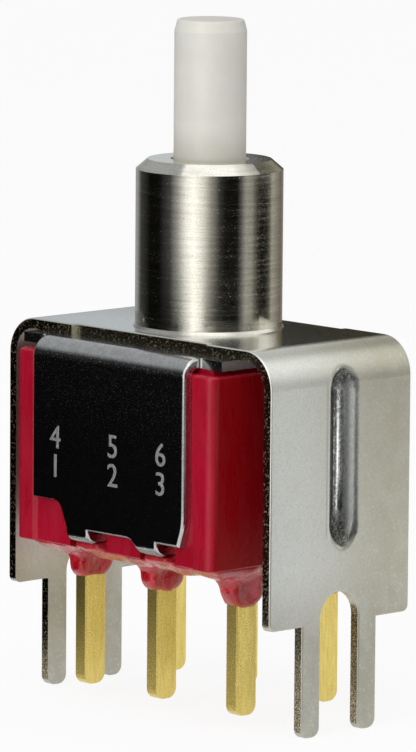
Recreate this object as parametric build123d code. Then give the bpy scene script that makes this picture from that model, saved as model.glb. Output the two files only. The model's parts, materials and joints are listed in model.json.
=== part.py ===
"""Miniature pushbutton switch for a circuit board, double pole, with a plain round bushing.

Millimetres, +Z up along the plunger. The origin is on the plunger's axis in the plane of the
board's upper surface, where the support bracket's shoulders rest. The lettered face is -Y.
"""
from build123d import *
import math
import os

# ---------------------------------------------------------------- driving dimensions
# Plunger and bushing
PLUNGER_R = 1.56
PLUNGER_TOP = 25.05
PLUNGER_TIP_DROP = 0.5
PLUNGER_TIP_INSET = 0.13
PLUNGER_FLANGE_R = 2.2
PLUNGER_FLANGE_H = 0.55
PLUNGER_PEG_R = 0.9
PLUNGER_PEG_H = 0.9
TRAVEL = 1.5
RUN_GAP = 0.05            # radial running clearance of the plunger in its bushing
BUSHING_R = 3.175
BUSHING_TOP = 19.05
BUSHING_CHAMFER_R = 0.5
BUSHING_CHAMFER_H = 0.43
BUSHING_RIM_R = 3.26
BUSHING_RIM_H = 0.13
SPIGOT_R = 2.6
STAKE_R = 3.0
STAKE_H = 0.35
STAKE_GAP = 0.03          # clearance of the plunger's flange under the staked bushing
BORE_LEAD = 0.08          # chamfer at the mouth of the bushing's bore

# Support bracket: a folded sheet over the switch, soldered into the board by four legs
BRACKET_TOP = 11.8
BRACKET_SHEET = 0.45
BRACKET_HALF_X = 8.29
BRACKET_HALF_Y = 4.1
BRACKET_BEND_R = 1.6      # outside of the bend
BRACKET_EDGE_HALF_X = 4.25  # half-length of the shallow relief in each long edge
BRACKET_EDGE_DEPTH = 0.25
BRACKET_CORNER_R = 0.3
BRACKET_EDGE_R = 0.08     # rounding of the outer face's sheared edges
LEG_IN_Y = 1.11
LEG_OUT_Y = 2.19
LEG_BOTTOM = -4.8
LEG_TIP_R = 0.42
ARCH_TOP = 1.3
BEAD_HALF_W = 0.74
BEAD_Y = 0.14             # the bead lies a little off the middle of its side
BEAD_DEPTH = 0.52
BEAD_LOW = 3.15
BEAD_HIGH = 11.0
BEAD_TAPER = 1.3
BEAD_LIP_R = 0.3          # rounding of the sheet where it turns into the bead

# Cover frame: the folded sheet under the bracket whose tabs hold the case
FRAME_SHEET = 0.42
FRAME_HALF_X = 6.25
TAB_HALF_X = 4.8
TAB_PROUD = 0.27          # how far each tab's outside stands out from the case's face
TAB_BEND_R = 0.8          # outside of the bend
TAB_LOW = 3.3             # lower edge of the tab
TAB_STEP_Z = 4.38         # lower edge of the tab at its cut-back corner
TAB_STEP_X = -3.12
TAB_STEP_R = 0.5
TAB_CORNER_X = 0.32
TAB_CORNER_Z = 0.96
TAB_CORNER_R = 2.5
FINGER_1 = (-2.65, -1.25)
FINGER_2 = (1.8, 3.1)
FINGER_LOW = 2.68
FINGER_FOLD_R = 0.55      # outside of each finger's fold
FINGER_REACH = 1.2        # from the tab's outside to the end of a folded finger
FINGER_SWEEP = 0.6        # radius of the curve from the tab's lower edge into a finger
FINGER_UNDER = 0.1        # how far the outline's fingers reach below the sheet
RELIEF_R = 0.14
TAB_EDGE_R = 0.16         # rounding of each tab's sheared edges

# Case and its cavity
CASE_HALF_X = 6.2
CASE_HALF_Y = 5.58
CASE_LOW = 2.41
CASE_RIM_GAP = 0.21       # shadow gap between the case's outer rim and the frame
CASE_CORNER_R = 0.45
CASE_RIM_R = 0.16
CASE_FOOT_R = 0.08
CASE_WALL = 0.9
CASE_FLOOR_LOW = 3.3
CASE_FLOOR_TOP = 4.1
LIP_HALF_X = 5.6
LIP_HALF_Y = 4.9
RECESS_HALF_X = 5.1       # front and back recess that each tab lies in
RECESS_SLANT = 0.2
RECESS_EDGE_R = 0.1
FINGER_SIDE = (0.15, 0.8) # clearance at the left and right of each folded finger
DIVIDER = 0.8
DIVIDER_GAP = 0.15        # clearance of the actuator's hub between the divider's halves
POST_R = 0.55
POST_H = 1.2
THROUGH = 1.0             # how far a cutter reaches past the faces that it opens

# Terminal seal
SEAL_HALF_X = 5.9
SEAL_HALF_Y = 5.1
SEAL_LOW = 1.92
SEAL_TAPER_X = 0.4
SEAL_TAPER_Y = 0.7
SEAL_EDGE_R = 0.25
SEAL_POCKET_GAP = 0.1     # from the end of a folded finger to the seal's pocket
COLLAR_SIDE_X = 0.08
COLLAR_SIDE_Y = 0.34
COLLAR_LOW = 0.48
COLLAR_FLARE = 0.5
COLLAR_EDGE_R = 0.14
COLLAR_END_R = 0.7        # rounding of a collar's lower ends
SEAL_PAD_Y = 5.25         # reach of the sealant under each folded finger

# Terminals
PIN_X = 0.65
PIN_Y = 1.17
PIN_LOW = -4.2
PIN_TIP_R = 0.45
PIN_EDGE_R = 0.05
ROW_Y = 2.415
COMMON_X = -4.8
NO_X = -0.2
NC_X = 4.8
STRIP = 0.4               # thickness of the folded contact carriers
STRIP_ABOVE = 0.4         # height of the lower carrier above the case's floor
NC_CONTACT_H = 0.45

# Contact system
CONTACT_X = 3.6
CONTACT_R = 0.5
CONTACT_NECK_R = 0.28
CONTACT_HEAD = 0.3
CONTACT_GAP = 0.5
TOUCH_GAP = 0.02
ARM_Z = 6.42              # middle of the contact arm's thickness
ARM_SHEET = 0.25
ARM_HALF_Y = 1.2
ARM_SLOT_HALF_Y = 0.78
ARM_SLOT_X = (-3.7, 2.15)
ARM_END_HALF_Y = 0.4
ARM_END_X = 4.2
ARM_SHOULDER = 0.1        # clearance of the arm's wide part beside the common terminal
PIVOT_X = -4.5
NOTCH_DEPTH = 0.3
NOTCH_HALF_Z = 0.3
ARM_BITE = 0.12           # how far the arm's end reaches into the common terminal's notch
COMMON_ABOVE = 0.75

# Actuator: the moulded crosspiece that the plunger pushes
ACTUATOR_H = 0.8
ACTUATOR_X = (-2.75, 1.7)
ACTUATOR_HALF_Y = 3.3
ACTUATOR_CORNER_R = 0.4
HUB_R = 1.25
HUB_H = 1.4
HOOK_X = -2.2
HOOK_RISE = 0.85          # rest height of the spring's hook above the arm
HOOK_HALF_Y = 0.42
HOOK_HALF_X = 0.42
HOOK_STEM = 0.4
HOOK_LEDGE = 0.32
HOOK_DROP = 0.18          # how far the ledge lies below the spring's leg
HOOK_HOLE_R = 0.22

# Springs
SNAP_WIRE_R = 0.075
SNAP_COIL_R = 0.36
SNAP_TURNS = 11
SNAP_BODY = 3.2           # length of the coiled part
SNAP_END_X = 2.5
SNAP_LIFT = 0.14          # height of the spring's leg above the arm
SNAP_TIP = 0.42
SNAP_HOLE_R = 0.19
RETURN_WIRE_R = 0.11
RETURN_COIL_R = 0.82
RETURN_TURNS = 6
SEAT_GAP = 0.02           # a part lying on another keeps this much clearance
NEAR = 0.005              # edges and corners are told apart to this distance
HALF_WAY = 0.5            # an edge's middle as a share of its length

# ---------------------------------------------------------------- dimensions that follow
FRAME_TOP = BRACKET_TOP - BRACKET_SHEET
FRAME_UNDER = FRAME_TOP - FRAME_SHEET
TAB_FACE_Y = CASE_HALF_Y + TAB_PROUD
TAB_BACK_Y = TAB_FACE_Y - FRAME_SHEET
TAB_BEND_Y = TAB_FACE_Y - TAB_BEND_R
TAB_BEND_Z = FRAME_TOP - TAB_BEND_R
FOLD_Y = TAB_FACE_Y - FINGER_FOLD_R
FOLD_Z = FINGER_LOW + FINGER_FOLD_R
FINGER_END_Y = TAB_FACE_Y - FINGER_REACH
SEAL_POCKET_HALF_Y = FINGER_END_Y - SEAL_POCKET_GAP
CASE_RIM = FRAME_UNDER - CASE_RIM_GAP
BORE_R = PLUNGER_R + RUN_GAP
RECESS_Y = TAB_BACK_Y - SEAT_GAP
CAVITY_X = CASE_HALF_X - CASE_WALL
CAVITY_Y = CASE_HALF_Y - CASE_WALL
STAKE_LOW = FRAME_UNDER - STAKE_H
FLANGE_TOP = STAKE_LOW - STAKE_GAP
ACTUATOR_TOP = FLANGE_TOP - PLUNGER_FLANGE_H
ACTUATOR_LOW = ACTUATOR_TOP - ACTUATOR_H
HUB_LOW = ACTUATOR_TOP - HUB_H
DIVIDER_TOP = ACTUATOR_LOW - TRAVEL - RUN_GAP
ARM_LOW = ARM_Z - ARM_SHEET / 2
ARM_TOP = ARM_Z + ARM_SHEET / 2
MOVING_LOW = ARM_LOW - CONTACT_HEAD
MOVING_TOP = ARM_TOP + CONTACT_HEAD
NO_CONTACT_TOP = MOVING_LOW - CONTACT_GAP
NO_STRIP_LOW = CASE_FLOOR_TOP + STRIP_ABOVE
NO_STRIP_TOP = NO_STRIP_LOW + STRIP
NC_CONTACT_LOW = MOVING_TOP + TOUCH_GAP
NC_STRIP_LOW = NC_CONTACT_LOW + NC_CONTACT_H
NC_STRIP_TOP = NC_STRIP_LOW + STRIP
HOOK_Z = ARM_Z + HOOK_RISE
SNAP_END_Z = ARM_TOP + SNAP_LIFT
SNAP_TILT = math.degrees(math.atan2(HOOK_Z - SNAP_END_Z, SNAP_END_X - HOOK_X))
SNAP_SPAN = math.hypot(HOOK_Z - SNAP_END_Z, SNAP_END_X - HOOK_X)
TURN_ROUND = Rot(0, 0, 180)
POLES = {"front": -ROW_Y, "back": ROW_Y}


# ---------------------------------------------------------------- small helpers
def block(x, y, z):
    """A box between the given pairs of X, Y and Z limits."""
    middle = Pos((x[0] + x[1]) / 2, (y[0] + y[1]) / 2, (z[0] + z[1]) / 2)
    return middle * Box(x[1] - x[0], y[1] - y[0], z[1] - z[0])


def centred_block(half_x, half_y, z):
    return block((-half_x, half_x), (-half_y, half_y), z)


def rod(radius, z, x=0.0, y=0.0):
    """An upright cylinder between two heights."""
    return Pos(x, y, (z[0] + z[1]) / 2) * Cylinder(radius, z[1] - z[0])


def turned(points):
    """A solid of revolution about Z from (radius, height) points."""
    return revolve(Plane.XZ * make_face(Polyline(*points, close=True)), Axis.Z)


def upright_edges(shape, half_x, half_y):
    """The vertical edges at the four corners of a rectangular body."""
    corners = []
    for edge in shape.edges().filter_by(Axis.Z):
        at = edge.center()
        if abs(abs(at.X) - half_x) < NEAR and abs(abs(at.Y) - half_y) < NEAR:
            corners.append(edge)
    return corners


def lies_on(edge, axis, place):
    """Whether an edge lies in the plane at the given place along X, Y or Z."""
    box = edge.bounding_box()
    low, high = getattr(box.min, axis), getattr(box.max, axis)
    return abs(low - place) < NEAR and abs(high - place) < NEAR


def on_either(edge, axis, place):
    return lies_on(edge, axis, place) or lies_on(edge, axis, -place)


def outline_below(solid, x, half_x, top):
    """The edges round an upright blade's two wide faces, without those at its top."""
    edges = [e for e in solid.edges() if lies_on(e, "X", x - half_x) or lies_on(e, "X", x + half_x)]
    return [e for e in edges if e.center().Z < top - NEAR]


def has_radius(edge, radius):
    return edge.geom_type == GeomType.CIRCLE and abs(edge.radius - radius) < NEAR


# ---------------------------------------------------------------- outside pieces
def plunger():
    stem = turned([
        (0, ACTUATOR_TOP - PLUNGER_PEG_H),
        (PLUNGER_PEG_R, ACTUATOR_TOP - PLUNGER_PEG_H),
        (PLUNGER_PEG_R, ACTUATOR_TOP),
        (PLUNGER_FLANGE_R, ACTUATOR_TOP),
        (PLUNGER_FLANGE_R, FLANGE_TOP),
        (PLUNGER_R, FLANGE_TOP),
        (PLUNGER_R, PLUNGER_TOP - PLUNGER_TIP_DROP),
        (PLUNGER_R - PLUNGER_TIP_INSET, PLUNGER_TOP),
        (0, PLUNGER_TOP),
    ])
    tip = stem.edges().filter_by(GeomType.CIRCLE).sort_by(Axis.Z)[-1]
    return fillet(tip, PLUNGER_TIP_INSET)


def bushing():
    return turned([
        (BORE_R, STAKE_LOW),
        (STAKE_R, STAKE_LOW),
        (STAKE_R, FRAME_UNDER),
        (SPIGOT_R, FRAME_UNDER),
        (SPIGOT_R, BRACKET_TOP),
        (BUSHING_RIM_R, BRACKET_TOP),
        (BUSHING_R, BRACKET_TOP + BUSHING_RIM_H),
        (BUSHING_R, BUSHING_TOP - BUSHING_CHAMFER_H),
        (BUSHING_R - BUSHING_CHAMFER_R, BUSHING_TOP),
        (BORE_R + BORE_LEAD, BUSHING_TOP),
        (BORE_R, BUSHING_TOP - BORE_LEAD),
    ])


def stiffening_bead(grow):
    """The spindle that presses the bead into a side of the bracket, larger by grow."""
    spindle_r = (BEAD_HALF_W ** 2 + BEAD_DEPTH ** 2) / (2 * BEAD_DEPTH)
    radius = spindle_r + grow
    offset = spindle_r - BEAD_DEPTH
    low = BEAD_LOW - grow
    high = BEAD_HIGH + grow
    # the taper's circular outline meets the sheet's face at the bead's visible ends
    arc_r = (radius ** 2 + BEAD_TAPER ** 2) / (2 * radius)
    hidden = BEAD_TAPER - math.sqrt(arc_r ** 2 - (arc_r - radius + offset) ** 2)
    ends = (low - hidden, high + hidden)
    outline = Polyline((0, ends[0]), (0, ends[1])) + ThreePointArc(
        (0, ends[1]), taper_middle(radius, arc_r, ends[1], -1), (radius, ends[1] - BEAD_TAPER))
    outline += Line((radius, ends[1] - BEAD_TAPER), (radius, ends[0] + BEAD_TAPER))
    outline += ThreePointArc(
        (radius, ends[0] + BEAD_TAPER), taper_middle(radius, arc_r, ends[0], 1), (0, ends[0]))
    spindle = revolve(Plane.XZ * make_face(outline), Axis.Z)
    return Pos(BRACKET_HALF_X + offset, BEAD_Y, 0) * spindle


def taper_middle(radius, arc_r, end, sign):
    """A point halfway along the arc from a spindle's tip to its full radius."""
    half_turn = math.asin(BEAD_TAPER / arc_r) / 2
    return (radius - arc_r * (1 - math.cos(half_turn)),
            end + sign * (BEAD_TAPER - arc_r * math.sin(half_turn)))


def bracket_side_outline():
    """Both shoulders, the solder legs and the arch between them, seen along X."""
    leg_mid = (LEG_IN_Y + LEG_OUT_Y) / 2
    leg_w = LEG_OUT_Y - LEG_IN_Y
    sheet = Pos(0, BRACKET_TOP / 2) * Rectangle(2 * BRACKET_HALF_Y, BRACKET_TOP)
    for side in (-1, 1):
        sheet += Pos(side * leg_mid, LEG_BOTTOM / 2) * Rectangle(leg_w, -LEG_BOTTOM)
    arch_z = ARCH_TOP - LEG_IN_Y
    sheet -= Pos(0, arch_z) * Circle(LEG_IN_Y)
    sheet -= Pos(0, arch_z / 2) * Rectangle(2 * LEG_IN_Y, arch_z)
    tips = [v for v in sheet.vertices() if v.Y < LEG_BOTTOM + NEAR]
    sheet = fillet(tips, LEG_TIP_R)
    corners = [v for v in sheet.vertices() if abs(v.Y) < NEAR and abs(v.X) > LEG_OUT_Y + NEAR]
    return fillet(corners, BRACKET_CORNER_R)


def bracket_rim(sheet):
    """The outline of the bracket's outer face, without the bends' seams, hole or beads."""
    rim = []
    for edge in sheet.edges():
        at = edge.center()
        across = edge.bounding_box().size.Y > 2 * BRACKET_HALF_Y - NEAR
        seam = across and edge.geom_type == GeomType.LINE
        hole = has_radius(edge, SPIGOT_R)
        bend = has_radius(edge, BRACKET_BEND_R) and on_either(edge, "Y", BRACKET_HALF_Y)
        outer = on_either(edge, "X", BRACKET_HALF_X) or lies_on(edge, "Z", BRACKET_TOP)
        if bend or (outer and not seam and not hole):
            rim.append(edge)
    return rim


def bead_lips(sheet):
    """The outlines where the two beads break the bracket's outer face."""
    lips = []
    for edge in sheet.edges():
        box = edge.bounding_box()
        reach = BEAD_Y + BEAD_HALF_W + NEAR
        middle = abs((edge @ HALF_WAY).Y) < reach and box.size.Y < 2 * BEAD_HALF_W + NEAR
        outside = max(abs(box.min.X), abs(box.max.X)) > BRACKET_HALF_X - BEAD_DEPTH / 2
        upright = box.min.Z > ARCH_TOP + NEAR and box.size.Z > BEAD_DEPTH
        if middle and outside and upright:
            lips.append(edge)
    return lips


def bracket():
    outer = centred_block(BRACKET_HALF_X, BRACKET_HALF_Y, (LEG_BOTTOM, BRACKET_TOP))
    outer = fillet(outer.edges().filter_by(Axis.Y).group_by(Axis.Z)[-1], BRACKET_BEND_R)
    inner = centred_block(
        BRACKET_HALF_X - BRACKET_SHEET, BRACKET_HALF_Y + THROUGH,
        (LEG_BOTTOM - THROUGH, FRAME_TOP))
    inner = fillet(inner.edges().filter_by(Axis.Y).group_by(Axis.Z)[-1],
                   BRACKET_BEND_R - BRACKET_SHEET)
    side = Plane.YZ.offset(-BRACKET_HALF_X) * bracket_side_outline()
    sheet = (outer - inner) & extrude(side, 2 * BRACKET_HALF_X)
    for edge in (-1, 1):
        inner_y = BRACKET_HALF_Y - BRACKET_EDGE_DEPTH
        limits = sorted((edge * inner_y, edge * (BRACKET_HALF_Y + THROUGH)))
        sheet -= block((-BRACKET_EDGE_HALF_X, BRACKET_EDGE_HALF_X), limits,
                       (FRAME_TOP - THROUGH, BRACKET_TOP + THROUGH))
    sheet -= rod(SPIGOT_R, (FRAME_TOP - THROUGH, BRACKET_TOP + THROUGH))
    sheet = fillet(bracket_rim(sheet), BRACKET_EDGE_R)
    inside = centred_block(BRACKET_HALF_X - BRACKET_SHEET / 2, BRACKET_HALF_Y, (0, BRACKET_TOP))
    for turn in (Rot(0, 0, 0), TURN_ROUND):
        sheet += (turn * stiffening_bead(BRACKET_SHEET)) & inside & outer
        sheet -= turn * stiffening_bead(0)
    return fillet(bead_lips(sheet), BEAD_LIP_R)


def tab_outline():
    """The tab's sheared outline with its two fingers, seen along Y."""
    under = FINGER_LOW - FINGER_UNDER
    flat = make_face(Polyline(
        (-TAB_HALF_X, FRAME_TOP),
        (-TAB_HALF_X, TAB_STEP_Z),
        (TAB_STEP_X, TAB_STEP_Z),
        (FINGER_1[0], TAB_LOW),
        (FINGER_1[0], under),
        (FINGER_1[1], under),
        (FINGER_1[1], TAB_LOW),
        (FINGER_2[0], TAB_LOW),
        (FINGER_2[0], under),
        (FINGER_2[1], under),
        (FINGER_2[1], TAB_LOW),
        (TAB_HALF_X - TAB_CORNER_X, TAB_LOW),
        (TAB_HALF_X, TAB_LOW + TAB_CORNER_Z),
        (TAB_HALF_X, FRAME_TOP),
        close=True))
    corners = (
        (TAB_STEP_X, TAB_STEP_Z, TAB_STEP_R),
        (FINGER_2[0], TAB_LOW, FINGER_SWEEP),
        (TAB_HALF_X, TAB_LOW + TAB_CORNER_Z, TAB_CORNER_R),
    )
    for x, z, radius in corners:
        corner = [v for v in flat.vertices() if abs(v.X - x) + abs(v.Y - z) < NEAR]
        flat = fillet(corner, radius)
    return flat


def on_tab_face(at):
    """Whether a point lies on the outer surface of the tab's bend, flat or fingers."""
    if at.Z > TAB_BEND_Z:
        return abs(math.hypot(at.Y + TAB_BEND_Y, at.Z - TAB_BEND_Z) - TAB_BEND_R) < NEAR
    if at.Z > FOLD_Z:
        return abs(at.Y + TAB_FACE_Y) < NEAR
    if at.Y < -FOLD_Y:
        return abs(math.hypot(at.Y + FOLD_Y, at.Z - FOLD_Z) - FINGER_FOLD_R) < NEAR
    return abs(at.Z - FINGER_LOW) < NEAR


def tab_rim(solid):
    """The sheared outline of the tab's outer surface, without the seams between its bends."""
    rim = []
    for edge in solid.edges():
        level = edge.bounding_box().size.Z < NEAR and edge.bounding_box().size.Y < NEAR
        seam = level and not (lies_on(edge, "Z", TAB_LOW) or lies_on(edge, "Z", TAB_STEP_Z))
        if on_tab_face(edge @ HALF_WAY) and not seam:
            rim.append(edge)
    return rim


def tab():
    """The front tab: its bend, flat and the two fingers folded in under the case."""
    wide = (-TAB_HALF_X, TAB_HALF_X)
    sheet = block(wide, (-TAB_FACE_Y, -TAB_BACK_Y), (FOLD_Z, TAB_BEND_Z))
    sheet += ring_quarter(wide, (-TAB_BEND_Y, TAB_BEND_Z), TAB_BEND_R,
                          (-TAB_FACE_Y, -TAB_BEND_Y), (TAB_BEND_Z, FRAME_TOP))
    sheet += ring_quarter(wide, (-FOLD_Y, FOLD_Z), FINGER_FOLD_R,
                          (-TAB_FACE_Y, -FOLD_Y), (FINGER_LOW, FOLD_Z))
    sheet += block(wide, (-FOLD_Y, -FINGER_END_Y), (FINGER_LOW, FINGER_LOW + FRAME_SHEET))
    outline = Plane.XZ.offset(FINGER_END_Y) * tab_outline()
    sheet = sheet & extrude(outline, TAB_FACE_Y - FINGER_END_Y + THROUGH)
    return fillet(tab_rim(sheet), TAB_EDGE_R)


def ring_quarter(x, centre, radius, y, z):
    """A quarter of a sheet bend that runs along X, kept between the given Y and Z limits."""
    along = Pos((x[0] + x[1]) / 2, centre[0], centre[1]) * Rot(0, 90, 0)
    ring = Cylinder(radius, x[1] - x[0]) - Cylinder(radius - FRAME_SHEET, x[1] - x[0])
    return (along * ring) & block(x, y, z)


def cover_frame():
    plate = centred_block(FRAME_HALF_X, TAB_BEND_Y, (FRAME_UNDER, FRAME_TOP))
    plate -= rod(SPIGOT_R, (FRAME_UNDER - THROUGH, FRAME_TOP + THROUGH))
    for x in (-1, 1):
        for y in (-1, 1):
            plate -= rod(RELIEF_R, (FRAME_UNDER - THROUGH, FRAME_TOP + THROUGH),
                         x * (TAB_HALF_X + RELIEF_R), y * TAB_BEND_Y)
    front = tab()
    return plate + front + TURN_ROUND * front


def recess_cutter():
    """The shallow slant-sided recess in the case's front that the tab lies in."""
    outside = -CASE_HALF_Y - THROUGH
    floor_half = RECESS_HALF_X - RECESS_SLANT
    outline = Polyline(
        (-RECESS_HALF_X, outside),
        (-RECESS_HALF_X, -CASE_HALF_Y),
        (-floor_half, -RECESS_Y),
        (floor_half, -RECESS_Y),
        (RECESS_HALF_X, -CASE_HALF_Y),
        (RECESS_HALF_X, outside),
        close=True)
    return extrude(Pos(0, 0, CASE_LOW - THROUGH) * make_face(outline), FRAME_TOP - CASE_LOW + THROUGH)


def finger_notches():
    """Notches in the case's lower front edge for the folded fingers."""
    notches = []
    for finger in (FINGER_1, FINGER_2):
        notches.append(block(
            (finger[0] - FINGER_SIDE[0], finger[1] + FINGER_SIDE[1]),
            (-CASE_HALF_Y - THROUGH, -SEAL_POCKET_HALF_Y),
            (CASE_LOW - THROUGH, FOLD_Z + SEAT_GAP)))
    return notches


def case():
    body = centred_block(CASE_HALF_X, CASE_HALF_Y, (CASE_LOW, CASE_RIM))
    body = fillet(upright_edges(body, CASE_HALF_X, CASE_HALF_Y), CASE_CORNER_R)
    for turn in (Rot(0, 0, 0), TURN_ROUND):
        body -= turn * recess_cutter()
    sides = [e for e in body.edges().filter_by(Axis.Z)
             if abs(abs(e.center().X) - RECESS_HALF_X) < NEAR]
    body = fillet(sides, RECESS_EDGE_R)
    body = fillet(body.edges().group_by(Axis.Z)[-1], CASE_RIM_R)
    body = fillet(body.edges().group_by(Axis.Z)[0], CASE_FOOT_R)
    for turn in (Rot(0, 0, 0), TURN_ROUND):
        for notch in finger_notches():
            body -= turn * notch
    body += centred_block(LIP_HALF_X, LIP_HALF_Y, (CASE_RIM, FRAME_UNDER))
    body -= centred_block(CAVITY_X, CAVITY_Y, (CASE_FLOOR_TOP, FRAME_TOP))
    body -= centred_block(CAVITY_X, SEAL_POCKET_HALF_Y, (CASE_LOW - THROUGH, CASE_FLOOR_LOW))
    for side in (-1, 1):
        run = sorted((side * (HUB_R + DIVIDER_GAP), side * CAVITY_X))
        body += block(run, (-DIVIDER / 2, DIVIDER / 2), (CASE_FLOOR_TOP, DIVIDER_TOP))
    body += rod(POST_R, (CASE_FLOOR_TOP, CASE_FLOOR_TOP + POST_H))
    for x in (COMMON_X, NO_X, NC_X):
        for y in POLES.values():
            half = (PIN_X / 2 + SEAT_GAP, PIN_Y / 2 + SEAT_GAP)
            body -= block((x - half[0], x + half[0]), (y - half[1], y + half[1]),
                          (CASE_LOW, CASE_FLOOR_TOP + THROUGH))
    return body


def seal_collar(x, y):
    """The raised collar of sealant round one terminal, flared where it leaves the layer."""
    wide = (PIN_X + 2 * COLLAR_SIDE_X, PIN_Y + 2 * COLLAR_SIDE_Y)
    foot = Pos(x, y, SEAL_LOW) * Rectangle(wide[0] + COLLAR_FLARE, wide[1] + COLLAR_FLARE)
    neck = Pos(x, y, SEAL_LOW - COLLAR_FLARE) * Rectangle(*wide)
    collar = Pos(x, y, (SEAL_LOW + COLLAR_LOW) / 2) * Box(*wide, SEAL_LOW - COLLAR_LOW)
    ends = collar.edges().filter_by(Axis.X).group_by(Axis.Z)[0]
    collar = fillet(ends, COLLAR_END_R)
    collar = fillet(outline_below(collar, x, wide[0] / 2, SEAL_LOW), COLLAR_EDGE_R)
    return collar + loft([foot, neck])


def seal():
    layer_top = Pos(0, 0, CASE_LOW) * Rectangle(2 * SEAL_HALF_X, 2 * SEAL_HALF_Y)
    layer_low = Pos(0, 0, SEAL_LOW) * Rectangle(
        2 * (SEAL_HALF_X - SEAL_TAPER_X), 2 * (SEAL_HALF_Y - SEAL_TAPER_Y))
    body = loft([layer_top, layer_low])
    body = fillet(body.edges().group_by(Axis.Z)[0], SEAL_EDGE_R)
    body += centred_block(CAVITY_X, SEAL_POCKET_HALF_Y, (CASE_LOW, CASE_FLOOR_LOW))
    for turn in (Rot(0, 0, 0), TURN_ROUND):
        for finger in (FINGER_1, FINGER_2):
            body += turn * block(finger, (-SEAL_PAD_Y, -SEAL_POCKET_HALF_Y),
                                 (CASE_LOW, FINGER_LOW - SEAT_GAP))
    for x in (COMMON_X, NO_X, NC_X):
        for y in POLES.values():
            body += seal_collar(x, y)
            body -= block((x - PIN_X / 2, x + PIN_X / 2), (y - PIN_Y / 2, y + PIN_Y / 2),
                          (COLLAR_LOW - THROUGH, CASE_FLOOR_LOW + THROUGH))
    return body


# ---------------------------------------------------------------- terminals
def blade(x, y, top):
    """A straight flat pin with a rounded tip, up to the given height."""
    pin = block((x - PIN_X / 2, x + PIN_X / 2), (y - PIN_Y / 2, y + PIN_Y / 2), (PIN_LOW, top))
    pin = fillet(pin.edges().filter_by(Axis.X).group_by(Axis.Z)[0], PIN_TIP_R)
    return fillet(outline_below(pin, x, PIN_X / 2, top), PIN_EDGE_R)


def common_terminal(y):
    """The pin that carries the contact arm in a notch at its head."""
    pin = blade(COMMON_X, y, ARM_Z + COMMON_ABOVE)
    face = COMMON_X + PIN_X / 2
    return pin - block((face - NOTCH_DEPTH, face + THROUGH), (y - PIN_Y, y + PIN_Y),
                       (ARM_Z - NOTCH_HALF_Z, ARM_Z + NOTCH_HALF_Z))


def no_terminal(y):
    """The middle pin, folded towards +X under the moving contact."""
    strip = block((NO_X - PIN_X / 2, CONTACT_X + CONTACT_R), (y - PIN_Y / 2, y + PIN_Y / 2),
                  (NO_STRIP_LOW, NO_STRIP_TOP))
    return blade(NO_X, y, NO_STRIP_TOP) + strip


def nc_terminal(y):
    """The outer pin, folded back over the moving contact."""
    strip = block((CONTACT_X - CONTACT_R, NC_X + PIN_X / 2), (y - PIN_Y / 2, y + PIN_Y / 2),
                  (NC_STRIP_LOW, NC_STRIP_TOP))
    return blade(NC_X, y, NC_STRIP_TOP) + strip


# ---------------------------------------------------------------- contact system
def contact_arm(y):
    """A slotted spring-metal blade: the snap spring crosses it through the slot."""
    tip = COMMON_X + PIN_X / 2 - ARM_BITE
    z = (ARM_LOW, ARM_TOP)
    arm = block((COMMON_X + PIN_X / 2 + ARM_SHOULDER, ARM_END_X), (y - ARM_HALF_Y, y + ARM_HALF_Y), z)
    arm += block((tip, ARM_SLOT_X[0]), (y - ARM_END_HALF_Y, y + ARM_END_HALF_Y), z)
    through = (ARM_LOW - THROUGH, ARM_TOP + THROUGH)
    arm -= block(ARM_SLOT_X, (y - ARM_SLOT_HALF_Y, y + ARM_SLOT_HALF_Y), through)
    arm -= rod(CONTACT_NECK_R, through, CONTACT_X, y)
    arm -= rod(SNAP_HOLE_R, through, SNAP_END_X, y)
    return arm


def moving_contact(y):
    rivet = rod(CONTACT_R, (MOVING_LOW, ARM_LOW), CONTACT_X, y)
    rivet += rod(CONTACT_NECK_R, (ARM_LOW, ARM_TOP), CONTACT_X, y)
    return rivet + rod(CONTACT_R, (ARM_TOP, MOVING_TOP), CONTACT_X, y)


def no_contact(y):
    return rod(CONTACT_R, (NO_STRIP_TOP, NO_CONTACT_TOP), CONTACT_X, y)


def nc_contact(y):
    return rod(CONTACT_R, (NC_CONTACT_LOW, NC_STRIP_LOW), CONTACT_X, y)


def actuator():
    plate = block(ACTUATOR_X, (-ACTUATOR_HALF_Y, ACTUATOR_HALF_Y), (ACTUATOR_LOW, ACTUATOR_TOP))
    plate = fillet(plate.edges().filter_by(Axis.Z), ACTUATOR_CORNER_R)
    plate += rod(HUB_R, (HUB_LOW, ACTUATOR_TOP))
    ledge_low = HOOK_Z - HOOK_DROP - HOOK_LEDGE
    for y in POLES.values():
        stem = block((HOOK_X - HOOK_HALF_X - HOOK_STEM, HOOK_X - HOOK_HALF_X),
                     (y - HOOK_HALF_Y, y + HOOK_HALF_Y), (ledge_low, ACTUATOR_LOW))
        ledge = block((HOOK_X - HOOK_HALF_X, HOOK_X + HOOK_HALF_X),
                      (y - HOOK_HALF_Y, y + HOOK_HALF_Y), (ledge_low, ledge_low + HOOK_LEDGE))
        plate += stem + ledge
        plate -= rod(HOOK_HOLE_R, (ledge_low - HOOK_LEDGE, ledge_low + 2 * HOOK_LEDGE), HOOK_X, y)
    peg_low = ACTUATOR_TOP - PLUNGER_PEG_H - SEAT_GAP
    plate -= rod(PLUNGER_PEG_R + SEAT_GAP, (peg_low, ACTUATOR_TOP + THROUGH))
    return plate


def coil(wire_r, coil_r, turns, length):
    """A helical wire standing on z = 0, with its ends cut square."""
    path = Helix(pitch=length / turns, height=length, radius=coil_r)
    start = Plane(origin=path @ 0, z_dir=path % 0)
    return sweep(start * Circle(wire_r), path=path, is_frenet=True)


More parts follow.
